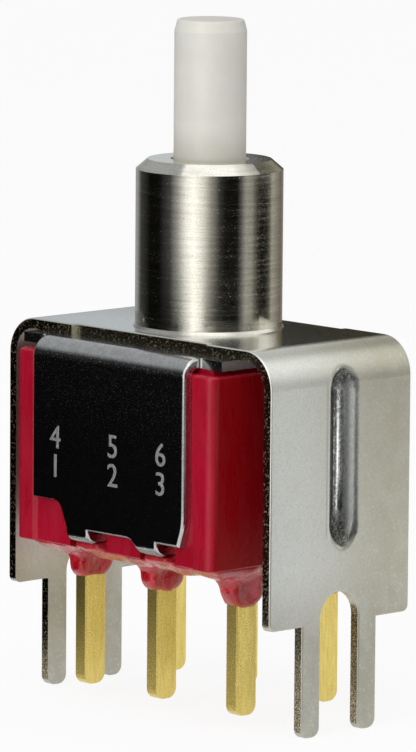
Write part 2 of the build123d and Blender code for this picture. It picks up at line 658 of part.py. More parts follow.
def snap_spring(y):
    """A tension spring from the arm's far end to the actuator's hook, with turned-down tips."""
    leg = (SNAP_SPAN - SNAP_BODY) / 2
    spring = Pos(leg, 0, SNAP_COIL_R) * Rot(0, 90, 0) * coil(
        SNAP_WIRE_R, SNAP_COIL_R, SNAP_TURNS, SNAP_BODY)
    for x, middle in ((0.0, leg / 2), (SNAP_SPAN, SNAP_SPAN - leg / 2)):
        spring += Pos(middle, 0, 0) * Rot(0, 90, 0) * Cylinder(SNAP_WIRE_R, leg)
        spring += Pos(x, 0, 0) * Sphere(SNAP_WIRE_R)
        spring += Pos(x, 0, -SNAP_TIP / 2) * Cylinder(SNAP_WIRE_R, SNAP_TIP)
    return Pos(HOOK_X, y, HOOK_Z) * Rot(0, SNAP_TILT, 0) * spring


def return_spring():
    low = CASE_FLOOR_TOP + RETURN_WIRE_R + SEAT_GAP
    high = HUB_LOW - RETURN_WIRE_R - SEAT_GAP
    return Pos(0, 0, low) * coil(RETURN_WIRE_R, RETURN_COIL_R, RETURN_TURNS, high - low)


# ---------------------------------------------------------------- files
def nodes():
    made = {
        "plunger": plunger(),
        "bushing": bushing(),
        "support_bracket": bracket(),
        "cover_frame": cover_frame(),
        "case": case(),
        "terminal_seal": seal(),
        "actuator": actuator(),
        "return_spring": return_spring(),
    }
    for pole, y in POLES.items():
        made["common_terminal_" + pole] = common_terminal(y)
        made["no_terminal_" + pole] = no_terminal(y)
        made["nc_terminal_" + pole] = nc_terminal(y)
        made["no_contact_" + pole] = no_contact(y)
        made["nc_contact_" + pole] = nc_contact(y)
        made["contact_arm_" + pole] = contact_arm(y)
        made["moving_contact_" + pole] = moving_contact(y)
        made["snap_spring_" + pole] = snap_spring(y)
    return made


os.makedirs("parts", exist_ok=True)
for name, solid in nodes().items():
    export_step(solid, "parts/" + name + ".step")
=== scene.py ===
"""Looks of the miniature pushbutton switch: finishes, cast seal, stamped numerals, studio.

Metres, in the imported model's own frame: +Z up along the plunger, lettered front tab at -Y.
"""
import json
import math
import bmesh
import bpy
from mathutils import Matrix, Quaternion, Vector, noise


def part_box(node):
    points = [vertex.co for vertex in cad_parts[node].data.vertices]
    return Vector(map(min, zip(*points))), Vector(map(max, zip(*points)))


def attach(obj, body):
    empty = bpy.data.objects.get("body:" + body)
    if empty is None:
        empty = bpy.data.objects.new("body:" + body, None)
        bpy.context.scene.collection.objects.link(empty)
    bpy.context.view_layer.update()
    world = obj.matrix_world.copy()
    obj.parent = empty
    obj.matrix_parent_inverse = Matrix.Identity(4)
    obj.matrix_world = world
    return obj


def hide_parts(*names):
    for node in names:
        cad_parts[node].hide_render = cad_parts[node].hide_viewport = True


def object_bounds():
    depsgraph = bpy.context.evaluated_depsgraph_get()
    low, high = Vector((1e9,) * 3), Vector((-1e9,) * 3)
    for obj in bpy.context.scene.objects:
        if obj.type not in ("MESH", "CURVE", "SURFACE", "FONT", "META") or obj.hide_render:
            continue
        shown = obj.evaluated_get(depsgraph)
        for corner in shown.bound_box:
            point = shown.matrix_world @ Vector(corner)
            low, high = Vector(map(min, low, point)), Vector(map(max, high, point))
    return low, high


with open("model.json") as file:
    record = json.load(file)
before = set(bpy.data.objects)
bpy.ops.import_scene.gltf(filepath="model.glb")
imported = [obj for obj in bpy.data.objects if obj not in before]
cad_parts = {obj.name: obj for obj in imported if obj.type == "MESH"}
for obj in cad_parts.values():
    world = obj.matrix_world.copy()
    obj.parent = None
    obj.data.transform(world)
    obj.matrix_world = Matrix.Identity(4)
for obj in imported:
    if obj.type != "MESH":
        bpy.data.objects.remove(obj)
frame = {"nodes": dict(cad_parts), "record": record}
cad_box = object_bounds()
MM = 0.001
FLOOR_Z = cad_box[0].z        # the bracket's legs stand on the floor

# ---------------------------------------------------------------- view
VIEW_AZIMUTH = math.radians(46.97)
VIEW_ELEVATION = math.radians(8.0)
VIEW_DISTANCE = 279.86 * MM
VIEW_ROLL = -0.00805          # radians
VIEW_LEVEL = 10 * MM          # height of the point that the camera is set out from
AIM = Vector((0, 0, 9.62 * MM))  # what the camera and the lamps point at
LENS = 311.0                  # millimetres, as is the sensor's width
SENSOR = 36.0
NEAR_CLIP = 10 * MM
FAR_CLIP = 5.0


def mm(*lengths):
    """Lengths given in millimetres, as metres."""
    return tuple(length * MM for length in lengths)


def around(azimuth, distance, height):
    """A point at an azimuth measured from -Y towards +X, as seen from above."""
    return Vector((math.sin(azimuth) * distance, -math.cos(azimuth) * distance, height))


def make_camera():
    data = bpy.data.cameras.new("camera")
    data.sensor_fit = "AUTO"
    data.sensor_width = SENSOR
    data.lens = LENS
    data.clip_start = NEAR_CLIP
    data.clip_end = FAR_CLIP
    camera = bpy.data.objects.new("camera", data)
    bpy.context.scene.collection.objects.link(camera)
    reach = VIEW_DISTANCE * math.cos(VIEW_ELEVATION)
    level = VIEW_LEVEL + VIEW_DISTANCE * math.sin(VIEW_ELEVATION)
    camera.location = around(VIEW_AZIMUTH, reach, level)
    ahead = (AIM - camera.location).normalized()
    camera.rotation_mode = "QUATERNION"
    camera.rotation_quaternion = Quaternion(ahead, VIEW_ROLL) @ ahead.to_track_quat("-Z", "Y")
    bpy.context.scene.camera = camera


# ---------------------------------------------------------------- node shorthand
class Finish:
    """A procedural material on Object coordinates, built up step by step."""

    def __init__(self, name, **sockets):
        self.material = bpy.data.materials.new(name)
        self.material.use_nodes = True
        self.tree = self.material.node_tree
        self.shader = self.tree.nodes["Principled BSDF"]
        for socket, value in sockets.items():
            self.shader.inputs[socket.replace("_", " ")].default_value = value
        self.place = self.node("ShaderNodeTexCoord").outputs

    def node(self, kind, **settings):
        made = self.tree.nodes.new(kind)
        for key, value in settings.items():
            setattr(made, key, value)
        return made

    def link(self, value, socket):
        """Feeds a socket from another node's output, or sets it to a constant."""
        if isinstance(value, bpy.types.NodeSocket):
            self.tree.links.new(value, socket)
        else:
            socket.default_value = value

    def feed(self, name, value):
        self.link(value, self.shader.inputs[name])

    def math(self, operation, a, b=0.0, clamp=False):
        made = self.node("ShaderNodeMath", operation=operation, use_clamp=clamp)
        self.link(a, made.inputs[0])
        self.link(b, made.inputs[1])
        return made.outputs[0]

    def both(self, a, b):
        return self.math("MULTIPLY", a, b)

    def total(self, a, b):
        return self.math("ADD", a, b)

    def less(self, a, b):
        return self.math("SUBTRACT", a, b)

    def larger(self, a, b):
        return self.math("MAXIMUM", a, b)

    def noise(self, size, detail=3.0, rough=0.5, stretch=(1, 1, 1), twist=0.0):
        """Smooth noise whose features are about size metres across, longer where stretched."""
        mapping = self.node("ShaderNodeMapping")
        self.link(self.place["Object"], mapping.inputs["Vector"])
        mapping.inputs["Scale"].default_value = [1 / s for s in stretch]
        made = self.node("ShaderNodeTexNoise")
        self.link(mapping.outputs[0], made.inputs["Vector"])
        made.inputs["Scale"].default_value = 1 / size
        made.inputs["Detail"].default_value = detail
        made.inputs["Roughness"].default_value = rough
        made.inputs["Distortion"].default_value = twist
        return made.outputs["Fac"]

    def span(self, value, low, high, to_low=0.0, to_high=1.0):
        """Takes low..high to to_low..to_high, held at the ends."""
        made = self.node("ShaderNodeMapRange")
        made.interpolation_type = "SMOOTHSTEP"
        self.link(value, made.inputs["Value"])
        for name, number in (("From Min", low), ("From Max", high),
                             ("To Min", to_low), ("To Max", to_high)):
            made.inputs[name].default_value = number
        return made.outputs["Result"]

    def between(self, value, rise, fall, most=1.0):
        """0, up to most over the range rise, and back to 0 over the range fall."""
        return self.both(self.span(value, *rise), self.span(value, *fall, most, 0))

    def blend(self, share, a, b):
        """Colour a where share is 0, colour b where it is 1."""
        made = self.node("ShaderNodeMix", data_type="RGBA", blend_type="MIX")
        self.link(share, made.inputs["Factor"])
        for socket, value in ((made.inputs[6], a), (made.inputs[7], b)):
            if isinstance(value, tuple) and len(value) == 3:
                value = (*value, 1.0)
            self.link(value, socket)
        return made.outputs[2]

    def facing(self, axis, low, high):
        """1 where the surface faces along an axis, either way."""
        split = self.node("ShaderNodeSeparateXYZ")
        self.link(self.place["Normal"], split.inputs[0])
        return self.span(self.math("ABSOLUTE", split.outputs[axis]), low, high)

    def position(self, axis):
        """The point's place along an axis, in metres."""
        split = self.node("ShaderNodeSeparateXYZ")
        self.link(self.place["Object"], split.inputs[0])
        return split.outputs[axis]

    def bump(self, height, depth, under=None):
        """Relief of up to depth metres, on top of the relief under."""
        made = self.node("ShaderNodeBump")
        made.inputs["Strength"].default_value = 1.0
        made.inputs["Distance"].default_value = depth
        self.link(height, made.inputs["Height"])
        if under is not None:
            self.link(under, made.inputs["Normal"])
        return made.outputs["Normal"]

    def glow(self, strength):
        made = self.node("ShaderNodeEmission")
        made.inputs["Strength"].default_value = strength
        return made

    def show(self, shader):
        """Takes a shader output as the material's surface."""
        self.link(shader, self.tree.nodes["Material Output"].inputs["Surface"])


# ---------------------------------------------------------------- finishes
def plunger_plastic():
    f = Finish("plunger_plastic", Roughness=0.42, Subsurface_Weight=0.25, Subsurface_Scale=0.6 * MM)
    f.shader.inputs["Subsurface Radius"].default_value = (1.0, 0.8, 0.6)
    cloud = f.noise(1.6 * MM, 2)
    grain = f.noise(0.06 * MM, 4, 0.65)
    base = f.blend(f.span(cloud, 0.35, 0.7), (0.80, 0.785, 0.715), (0.84, 0.825, 0.755))
    # the lower end is greyer, in the shade of the bushing's mouth
    lower = f.span(f.position("Z"), 19 * MM, 20.8 * MM, 0.8, 0)
    base = f.blend(lower, base, (0.57, 0.56, 0.50))
    f.feed("Base Color", f.blend(f.span(grain, 0.55, 0.8, 0, 0.4), base, (0.62, 0.60, 0.52)))
    f.feed("Roughness", f.span(grain, 0.3, 0.7, 0.38, 0.52))
    draw = f.noise(0.12 * MM, 3, stretch=(1, 1, 14))
    f.feed("Normal", f.bump(grain, 5e-6, f.bump(draw, 3e-6)))
    return f.material


def bushing_nickel():
    f = Finish("bushing_nickel", Metallic=1.0, Roughness=0.15)
    turning = f.noise(0.05 * MM, 3, 0.6, stretch=(50, 50, 1))
    streak = f.noise(0.16 * MM, 3, 0.6, stretch=(14, 14, 1))
    speck = f.noise(0.05 * MM, 3, 0.7)
    base = f.blend(f.span(streak, 0.3, 0.7), (0.58, 0.565, 0.51), (0.72, 0.705, 0.645))
    base = f.blend(f.span(turning, 0.35, 0.7, 0, 0.4), base, (0.78, 0.765, 0.71))
    base = f.blend(f.facing("Z", 0.9, 0.98), base, (0.93, 0.91, 0.80))
    f.feed("Base Color", f.blend(f.span(speck, 0.52, 0.72, 0, 0.6), base, (0.30, 0.28, 0.23)))
    fleck = f.noise(0.045 * MM, 2, 0.6)
    lathe = f.total(f.span(streak, 0.3, 0.7, 0.08, 0.14), f.span(fleck, 0.57, 0.70, 0, 0.15))
    chamfer = f.span(f.facing("Z", 0.4, 0.6), 0, 1, 0, 0.03)
    f.feed("Roughness", f.total(lathe, chamfer))
    f.feed("Normal", f.bump(turning, 1.5e-7, f.bump(speck, 5e-7)))
    return f.material


# Zones of the pressed bead in each side of the bracket. Places across it run from its middle,
# negative on its left as seen from outside. A pair of ranges says where a zone sets in and
# where it fades out.
BEAD_Y = 0.14 * MM            # the bead's middle, off the middle of the side
BEAD_TALL = (mm(3.0, 3.3), mm(10.80, 10.98))
BEAD_TAPERS = mm(3.75, 10.3)  # below and above these the bead closes in to its tips
BEAD_LEFT = mm(-0.55, -0.46)
BEAD_LEFT_SLANT = 0.8         # how fast its left side closes in
BEAD_RIGHT = mm(0.66, 1.0)
BEAD_RIGHT_SLANT = 1.1
# where painted shade darkens the bead's ends, and its left side
SHADED_ENDS = (mm(3.7, 5.2), mm(9.7, 10.4))
SHADED_LEFT = mm(0.02, 0.08)
# where a painted highlight stripe runs down the bead
HIGHLIGHT_STRIPE = (mm(0.08, 0.11), mm(0.15, 0.18))
HIGHLIGHT_STRIPE_TALL = (mm(5.0, 6.4), mm(8.2, 9.4))
# where painted shade darkens each lip of the bead
LEFT_LIP = (mm(-1.05, -0.98), mm(-0.94, -0.88))
RIGHT_LIP = (mm(0.34, 0.50), mm(0.66, 0.90))
LIPS_TALL = (mm(3.5, 4.0), mm(10.0, 10.5))
POLISH_RIGHT = mm(0.28, 0.44)
POLISH_TALL = (mm(4.4, 4.9), mm(9.7, 10.1))


def bead_zones(f):
    """Masks of the bead (groove, painted shade on each lip, polished wall), and the places across
    it and up.
    """
    up = f.position("Z")
    across = f.less(f.both(f.position("Y"), f.math("SIGN", f.position("X"))), BEAD_Y)
    bottom, top = BEAD_TAPERS
    past_taper = f.larger(f.larger(f.less(up, top), f.less(bottom, up)), 0.0)
    from_left = f.less(across, f.both(past_taper, BEAD_LEFT_SLANT))
    from_right = f.total(across, f.both(past_taper, BEAD_RIGHT_SLANT))
    left_wall = f.span(from_left, *BEAD_LEFT)
    groove = f.both(f.both(left_wall, f.between(up, *BEAD_TALL)),
                    f.span(from_right, *BEAD_RIGHT, 1, 0))
    # painted shade on each lip
    lip_shade = f.total(f.between(across, *LEFT_LIP, 0.4), f.between(across, *RIGHT_LIP, 0.7))
    lip_shade = f.both(lip_shade, f.between(up, *LIPS_TALL))
    polished = f.both(f.between(up, *POLISH_TALL), f.span(across, *POLISH_RIGHT, 1, 0))
    return groove, lip_shade, f.both(polished, left_wall), across, up


def bead_shade_and_highlight(f, across, up):
    """Painted shade in the bead's groove, broken by slanting drag lines, darkest at its ends and
    left, with a painted highlight stripe down it.
    """
    drag = f.noise(0.07 * MM, 3, 0.7, stretch=(1, 3, 3), twist=1.5)
    # painted shade over the groove, broken by the drag lines
    groove_shade = f.blend(f.span(drag, 0.40, 0.62), (0.32, 0.335, 0.33), (0.72, 0.73, 0.72))
    # deeper painted shade for the bead's ends and left side
    deep_shade = f.blend(f.span(drag, 0.48, 0.62), (0.07, 0.07, 0.065), (0.30, 0.30, 0.285))
    # a painted highlight stripe down the bead
    highlight_stripe = f.both(f.between(across, *HIGHLIGHT_STRIPE), f.between(up, *HIGHLIGHT_STRIPE_TALL))
    low_end, high_end = SHADED_ENDS
    ends = f.total(f.span(up, *low_end, 1, 0), f.span(up, *high_end))
    dark = f.larger(ends, f.span(across, *SHADED_LEFT, 0.9, 0))
    return f.blend(dark, f.blend(highlight_stripe, groove_shade, (0.92, 0.93, 0.92)), deep_shade)


def bracket_nickel():
    f = Finish("bracket_nickel", Metallic=1.0, Roughness=0.4)
    mottle = f.noise(0.9 * MM, 4, 0.6)
    grain = f.noise(0.06 * MM, 4, 0.7)
    pits = f.noise(0.10 * MM, 2, 0.5)
    stain = f.noise(0.13 * MM, 4, 0.7)
    brush = f.noise(0.12 * MM, 3, 0.6, stretch=(1, 1, 5), twist=0.6)
    groove, lip_shade, polished_wall, across, up = bead_zones(f)

    # painted shade: lighter and cooler at the front, darker and warmer towards the back
    shade_towards_back = f.span(f.position("Y"), -3.5 * MM, 3 * MM)
    face = f.blend(shade_towards_back, (0.82, 0.84, 0.815), (0.53, 0.515, 0.42))
    # darker towards the feet of the legs
    face = f.blend(f.span(up, -1.5 * MM, 3 * MM, 0.85, 0), face, (0.39, 0.38, 0.315))
    face = f.blend(f.span(mottle, 0.35, 0.7, 0, 0.25), face, (0.70, 0.70, 0.65))
    face = f.blend(f.span(grain, 0.40, 0.75, 0, 0.35), face, (0.42, 0.42, 0.38))
    face = f.blend(f.span(stain, 0.52, 0.70, 0, 0.30), face, (0.56, 0.44, 0.33))
    face = f.blend(f.span(stain, 0.30, 0.46, 0.35, 0), face, (0.80, 0.86, 0.80))
    face = f.blend(f.span(pits, 0.70, 0.78, 0, 0.45), face, (0.26, 0.25, 0.22))
    # painted shade and a painted highlight stripe in the bead's groove
    face = f.blend(groove, face, bead_shade_and_highlight(f, across, up))
    # painted shade on each lip of the bead
    face = f.blend(lip_shade, face, (0.30, 0.31, 0.30))

    # the sheet's sheared edges are torn and dark; their bright golden flecks are a painted
    # reflection of the gold pins
    sheared = f.facing("Y", 0.86, 0.97)
    burr = f.noise(0.05 * MM, 3, 0.6)
    fleck = f.noise(0.11 * MM, 2, 0.6)
    # golden flecks painted as a reflection of the gold pins
    torn_and_pin_reflection = f.blend(f.span(burr, 0.45, 0.75), (0.12, 0.10, 0.065), (0.90, 0.80, 0.56))
    f.feed("Base Color", f.blend(sheared, face, torn_and_pin_reflection))

    shine = f.larger(f.facing("Z", 0.93, 0.99), polished_wall)
    matt = f.span(grain, 0.25, 0.75, 0.38, 0.50)
    polished = f.span(grain, 0.25, 0.75, 0.11, 0.20)
    rough = f.total(f.both(f.less(1.0, shine), matt), f.both(shine, polished))
    torn = f.both(sheared, f.span(fleck, 0.56, 0.66, -0.24, 0.42))
    f.feed("Roughness", f.total(rough, torn))

    rough_edge = f.both(grain, f.span(sheared, 0, 1, 1, 2.5))
    calm = f.span(groove, 0, 1, 1, 0.2)
    relief = f.bump(f.both(brush, calm), 2.5e-6, f.bump(mottle, 6e-6))
    f.feed("Normal", f.bump(f.both(rough_edge, calm), 3e-6, relief))
    return f.material


def frame_nickel():
    f = Finish("frame_nickel", Metallic=1.0, Roughness=0.18)
    peel = f.noise(0.3 * MM, 3, 0.55)
    grain = f.noise(0.05 * MM, 4, 0.7)
    spark = f.noise(0.045 * MM, 2, 0.5)
    base = f.blend(f.span(peel, 0.3, 0.7), (0.52, 0.53, 0.53), (0.64, 0.65, 0.65))
    # painted shade: the tabs' folds underneath, which face down, are painted darkest
    up = f.position("Z")
    under = f.both(f.facing("Z", 0.15, 0.6), f.span(up, 4.8 * MM, 5.2 * MM, 1, 0))
    shade_under = f.both(under, f.span(grain, 0.30, 0.56, 0.3, 1.0))
    # dark grain all over, and the painted shade under the folds
    dark_grain_and_shade = f.math("ADD", f.span(grain, 0.5, 0.75, 0, 0.6), shade_under, clamp=True)
    f.feed("Base Color", f.blend(dark_grain_and_shade, base, (0.13, 0.13, 0.12)))
    satin = f.span(grain, 0.3, 0.7, 0.12, 0.22)
    near_bend = f.span(up, 6.0 * MM, 9.6 * MM, 0.12, 0.5)
    sparks = f.both(f.span(spark, 0.62, 0.74), near_bend)
    f.feed("Roughness", f.total(satin, sparks))
    f.feed("Normal", f.bump(grain, 2.2e-6, f.bump(peel, 4e-6)))
    return f.material


def stamped_nickel():
    f = Finish("stamped_nickel", Metallic=0.7, Roughness=0.45)
    grain = f.noise(0.05 * MM, 3)
    f.feed("Base Color", f.blend(f.span(grain, 0.35, 0.65), (0.42, 0.43, 0.42), (0.78, 0.78, 0.76)))
    f.feed("Roughness", f.span(grain, 0.3, 0.7, 0.35, 0.55))
    f.feed("Normal", f.bump(grain, 6e-6))
    return f.material


def case_plastic():
    f = Finish("case_plastic", Roughness=0.32, Specular_IOR_Level=0.4)
    cloud = f.noise(1.6 * MM, 3)
    grain = f.noise(0.06 * MM, 4, 0.65)
    flow = f.noise(0.5 * MM, 3, stretch=(1, 1, 5), twist=0.4)
    base = f.blend(f.span(cloud, 0.3, 0.7), (0.41, 0.0006, 0.018), (0.48, 0.001, 0.025))
    base = f.blend(f.span(flow, 0.5, 0.8, 0, 0.2), base, (0.54, 0.003, 0.035))
    base = f.blend(f.span(grain, 0.68, 0.8, 0, 0.4), base, (0.60, 0.05, 0.09))
    # painted shade: the end walls, shaded by the bracket's sides, are painted darker than the front
    # and back
    f.feed("Base Color", f.blend(f.facing("X", 0.85, 0.97), base, (0.30, 0.0004, 0.004)))
    f.feed("Roughness", f.span(flow, 0.3, 0.7, 0.22, 0.36))
    f.feed("Normal", f.bump(grain, 4e-6, f.bump(flow, 8e-6)))
    return f.material


def seal_resin():
    f = Finish("seal_resin", Roughness=0.2, Subsurface_Weight=0.3, Subsurface_Scale=0.5 * MM,
               Coat_Weight=0.5, Coat_Roughness=0.08)
    f.shader.inputs["Subsurface Radius"].default_value = (1.0, 0.15, 0.12)
    cloud = f.noise(0.55 * MM, 4, 0.6, twist=0.8)
    grain = f.noise(0.09 * MM, 3)
    base = f.blend(f.span(cloud, 0.42, 0.6), (0.46, 0.001, 0.010), (0.66, 0.014, 0.032))
    # milky where it runs out under the case, amber at the thin lower ends of the collars
    up = f.position("Z")
    base = f.blend(f.span(up, 1.5 * MM, 2.1 * MM, 0, 0.3), base, (0.58, 0.08, 0.10))
    base = f.blend(f.span(up, 0.62 * MM, 0.95 * MM, 0.5, 0), base, (0.60, 0.08, 0.01))
    f.feed("Base Color", f.blend(f.span(grain, 0.6, 0.78, 0, 0.3), base, (0.66, 0.16, 0.16)))
    f.feed("Roughness", f.span(grain, 0.3, 0.7, 0.16, 0.34))
    f.feed("Normal", f.bump(grain, 4e-6, f.bump(cloud, 4e-5)))
    return f.material


def gold_plate():
    f = Finish("gold_plate", Metallic=1.0, Roughness=0.3)
    draw = f.noise(0.10 * MM, 3, 0.6, stretch=(1, 1, 10))
    grain = f.noise(0.07 * MM, 4, 0.65)
    sheared = f.facing("Y", 0.8, 0.95)
    wide = f.blend(f.span(draw, 0.3, 0.7), (0.66, 0.51, 0.14), (0.77, 0.62, 0.20))
    wide = f.blend(f.span(grain, 0.62, 0.78, 0, 0.2), wide, (0.46, 0.32, 0.08))
    burr = f.noise(0.06 * MM, 3, 0.6)
    narrow = f.blend(f.span(burr, 0.45, 0.75), (0.46, 0.35, 0.08), (0.95, 0.78, 0.30))
    f.feed("Base Color", f.blend(sheared, wide, narrow))
    satin = f.span(grain, 0.3, 0.7, 0.22, 0.36)
    f.feed("Roughness", f.total(satin, f.span(sheared, 0, 1, 0, 0.14)))
    rough_edge = f.both(grain, f.span(sheared, 0, 1, 1, 7.0))
    f.feed("Normal", f.bump(rough_edge, 3e-6, f.bump(draw, 2e-6)))
    return f.material


def actuator_plastic():
    f = Finish("actuator_plastic", Roughness=0.5)
    grain = f.noise(0.1 * MM, 4)
    f.feed("Base Color", f.blend(grain, (0.012, 0.012, 0.013), (0.045, 0.044, 0.042)))
    f.feed("Roughness", f.span(grain, 0.3, 0.7, 0.4, 0.6))
    f.feed("Normal", f.bump(grain, 8e-6))
    return f.material


GRAIN_ROUGHNESS = 0.08        # how far the grain moves the small metals' roughness either way


def small_metal(name, dark, light, rough):
    """Finish of the small inner metal pieces: rolled or drawn, with fine grain."""
    f = Finish(name, Metallic=1.0, Roughness=rough)
    grain = f.noise(0.06 * MM, 4, stretch=(4, 1, 1))
    f.feed("Base Color", f.blend(grain, dark, light))
    f.feed("Roughness", f.span(grain, 0.3, 0.7, rough - GRAIN_ROUGHNESS, rough + GRAIN_ROUGHNESS))
    f.feed("Normal", f.bump(grain, 4e-6))
    return f.material


FINISHES = {
    "plunger_plastic": plunger_plastic(),
    "bushing_nickel": bushing_nickel(),
    "bracket_nickel": bracket_nickel(),
    "frame_nickel": frame_nickel(),
    "stamped_nickel": stamped_nickel(),
    "case_plastic": case_plastic(),
    "seal_resin": seal_resin(),
    "gold_plate": gold_plate(),
    "actuator_plastic": actuator_plastic(),
    "spring_steel": small_metal("spring_steel", (0.40, 0.40, 0.40), (0.62, 0.62, 0.62), 0.28),
    "contact_silver": small_metal("contact_silver", (0.66, 0.65, 0.62), (0.86, 0.85, 0.82), 0.25),
    "arm_copper": small_metal("arm_copper", (0.50, 0.26, 0.14), (0.74, 0.44, 0.28), 0.3),
}


def dress_frame():
    """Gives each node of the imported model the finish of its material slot."""
    for part in frame["record"]["subparts"]:
        mesh = frame["nodes"][part["node"]].data
        mesh.materials.clear()
        mesh.materials.append(FINISHES[part["material_slot"]])


# ---------------------------------------------------------------- new pieces
def add_piece(name, mesh, material):
    piece = bpy.data.objects.new(name, mesh)
    bpy.context.scene.collection.objects.link(piece)
    mesh.materials.clear()
    mesh.materials.append(material)
    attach(piece, "switch_body")
    return piece


def evaluated_mesh(draft, name):
    """The final mesh of a draft object, which is then removed."""
    bpy.context.view_layer.update()
    final = draft.evaluated_get(bpy.context.evaluated_depsgraph_get())
    mesh = bpy.data.meshes.new_from_object(final)
    mesh.name = name
    bpy.data.objects.remove(draft)
    return mesh


WELD = 0.001 * MM
SEAL_VOXEL = 0.09 * MM
SEAL_SMOOTHING = 8            # rounds of smoothing that let the sealant's edges run
SEAL_EASE = 0.5               # how far each round moves a point towards its neighbours' middle
SEAL_SWELL = 0.05 * MM        # growth that makes up for the smoothing
LOBE_SIZE = 0.75 * MM
LOBE_HEIGHT = 0.10 * MM


def remeshed(node, name):
    """A closed mesh of even small faces in the shape of one of the frame's nodes."""
    shape = bmesh.new()
    shape.from_mesh(frame["nodes"][node].data)
    bmesh.ops.remove_doubles(shape, verts=shape.verts, dist=WELD)
    mesh = bpy.data.meshes.new(name + "_draft")
    shape.to_mesh(mesh)
    shape.free()
    draft = bpy.data.objects.new(name + "_draft", mesh)
    bpy.context.scene.collection.objects.link(draft)
    voxels = draft.modifiers.new("voxels", "REMESH")
    voxels.mode = "VOXEL"
    voxels.voxel_size = SEAL_VOXEL
    return evaluated_mesh(draft, name)


def cast_seal():
    """The sealant as it sets: the seal's shape with its edges run and its surface in lobes."""
    mesh = remeshed("terminal_seal", "cast_seal")
    soft = bmesh.new()
    soft.from_mesh(mesh)
    for _ in range(SEAL_SMOOTHING):
        bmesh.ops.smooth_vert(soft, verts=soft.verts, factor=SEAL_EASE, use_axis_x=True,
                              use_axis_y=True, use_axis_z=True)
    soft.normal_update()
    for vert in soft.verts:
        lobe = noise.noise(vert.co / LOBE_SIZE) * LOBE_HEIGHT
        vert.co += vert.normal * (SEAL_SWELL + lobe)
    for face in soft.faces:
        face.smooth = True
    soft.to_mesh(mesh)
    soft.free()
    piece = add_piece("cast_seal", mesh, FINISHES["seal_resin"])
    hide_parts("terminal_seal")


STAMP_HEIGHT = 1.0 * MM       # height of the numerals
STAMP_SHARE = 0.7             # a numeral's height as a share of the font's size
STAMP_RISE = 0.012 * MM
STAMP_ROWS = ((7.1 * MM, "456"), (5.85 * MM, "123"))
STAMP_COLUMNS = mm(-3.3, 0.35, 3.35)


def stamped_numeral(text, x, z):
    """One numeral stamped in the front tab, standing a hair proud of it."""
    name = "numeral_" + text
    curve = bpy.data.curves.new(name, "FONT")
    curve.body = text
    curve.size = STAMP_HEIGHT / STAMP_SHARE
    curve.align_x = "CENTER"
    curve.align_y = "CENTER"
    curve.extrude = STAMP_RISE
    draft = bpy.data.objects.new(name + "_text", curve)
    bpy.context.scene.collection.objects.link(draft)
    mesh = evaluated_mesh(draft, name)
    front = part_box("cover_frame")[0].y
    mesh.transform(Matrix.Translation((x, front, z)) @ Matrix.Rotation(math.pi / 2, 4, "X"))
    add_piece(name, mesh, FINISHES["stamped_nickel"])


def stamp_numerals():
    for z, row in STAMP_ROWS:
        for text, x in zip(row, STAMP_COLUMNS):
            stamped_numeral(text, x, z)


# ---------------------------------------------------------------- studio
RING_R = 60 * MM              # reflector wall round the object, seen only in reflections
RING_TOP = 160 * MM
RING_SIDES = 128
DISC_SIDES = 64
# Heights over which the wall's bands change, from those seen in upright metal to those above
LOW_ZONE = (0.7 * MM, 2.1 * MM)
FOOT_ZONE = (3 * MM, 9 * MM)  # from the bands seen at the bushing's foot to those above
HIGH_ZONE = (12 * MM, 16 * MM)
SKY_ZONE = (24 * MM, 52 * MM)
BRIGHTEST = 1.8               # the ramps hold shares of this brightness
CEILING = 1.45                # brightness of the disc that closes the wall at the top
# Colour of the wall: (degrees from the view direction, (red, green, blue)).
SIDE_BANDS = (
    (-180, (0.45, 0.45, 0.45)), (-140, (0.30, 0.30, 0.30)), (-122, (0.01, 0.01, 0.01)),
    (-64, (0.01, 0.01, 0.01)), (-50, (0.45, 0.45, 0.45)), (-26, (0.36, 0.36, 0.36)),
    (-8, (0.30, 0.30, 0.30)), (50, (0.30, 0.30, 0.30)), (56, (1.20, 1.20, 1.20)),
    (74, (1.20, 1.20, 1.20)), (80, (1.08, 1.08, 1.06)),
    (98, (1.50, 1.50, 1.46)), (125, (1.20, 1.20, 1.15)), (150, (0.50, 0.50, 0.48)),
    (180, (0.45, 0.45, 0.45)))
BUSHING_LOW_BANDS = (
    (-180, (0.40, 0.40, 0.40)), (-148, (0.38, 0.38, 0.38)), (-132, (0.06, 0.06, 0.06)),
    (-104, (0.004, 0.004, 0.003)), (-60, (0.004, 0.004, 0.003)), (-44, (0.12, 0.12, 0.11)),
    (-32, (0.80, 0.79, 0.75)), (-23, (1.70, 1.68, 1.60)), (-13, (1.30, 1.28, 1.22)),
    (-4, (0.30, 0.29, 0.26)), (8, (0.03, 0.03, 0.027)), (24, (0.004, 0.004, 0.003)),
    (44, (0.004, 0.004, 0.003)), (50, (0.12, 0.12, 0.11)),
    (58, (0.42, 0.42, 0.38)), (69, (0.34, 0.33, 0.29)), (76, (0.02, 0.016, 0.008)),
    (97, (0.005, 0.004, 0.002)), (106, (0.10, 0.09, 0.065)), (113, (0.44, 0.42, 0.37)),
    (128, (0.30, 0.28, 0.23)), (146, (0.18, 0.16, 0.13)), (172, (0.34, 0.32, 0.28)),
    (180, (0.40, 0.40, 0.40)))
